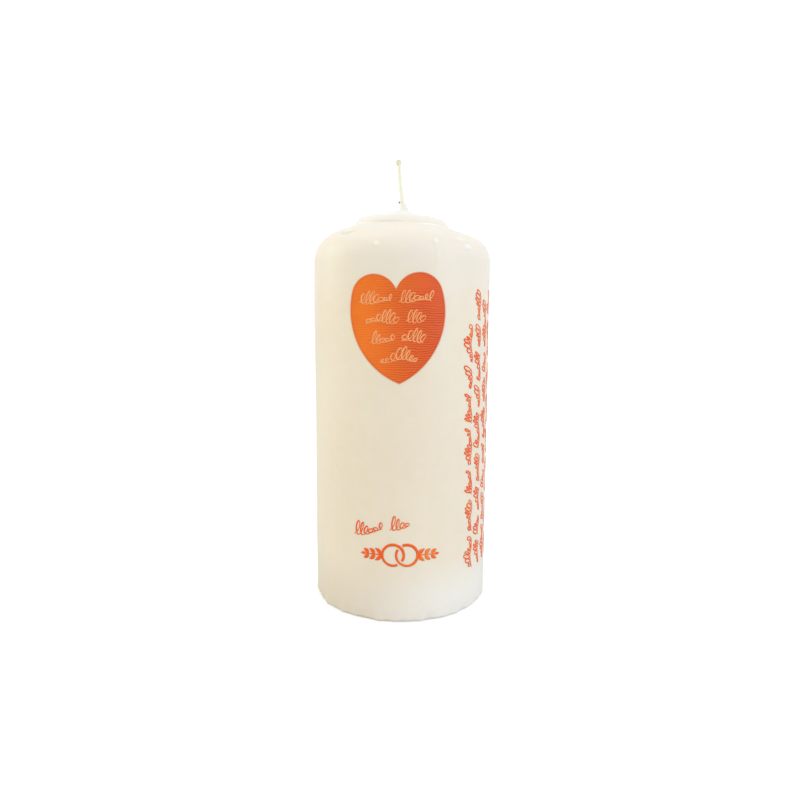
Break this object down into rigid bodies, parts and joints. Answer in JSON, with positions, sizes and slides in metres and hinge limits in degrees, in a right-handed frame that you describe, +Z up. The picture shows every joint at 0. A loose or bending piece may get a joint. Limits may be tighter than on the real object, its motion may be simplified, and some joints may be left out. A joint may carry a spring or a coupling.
{
  "type": "pillar candle",
  "caption": "Round ivory pillar candle with a rounded shoulder, a raised rim, a leaning wick, and a printed orange heart, linked rings and pen flourishes.",
  "frame": {"origin": "centre of the base, on the plane that the candle stands on", "axes": "+Z up along the candle towards the wick; the printed heart faces -Y; the upright pen lines are on the +X side"},
  "size_m": [0.0601, 0.0602, 0.15],
  "materials": {
    "core_wax": "pressed paraffin granulate, ivory, dull",
    "coat_wax": "dipped paraffin and stearin, ivory, soft satin gloss, slightly translucent",
    "cotton": "flat braided cotton, soaked in wax, olive tint at the tip",
    "tinplate": "thin tinned sheet steel",
    "label_paper": "white uncoated label paper, blank",
    "heart_ink": "printed wax ink, orange on the left turning red-orange on the right, fine ripples",
    "pale_ink": "pale salmon pen strokes printed over the heart",
    "red_ink": "printed wax ink, red-orange"
  },
  "bodies": {
    "root": {"wax_core": "core_wax", "overdip_coat": "coat_wax", "wick": "cotton", "wick_clip": "tinplate", "base_label": "label_paper", "heart_print": "heart_ink", "heart_pen_lines": "pale_ink", "side_pen_lines": "red_ink", "flourish_print": "red_ink", "rings_print": "red_ink"}
  },
  "joints": []
}
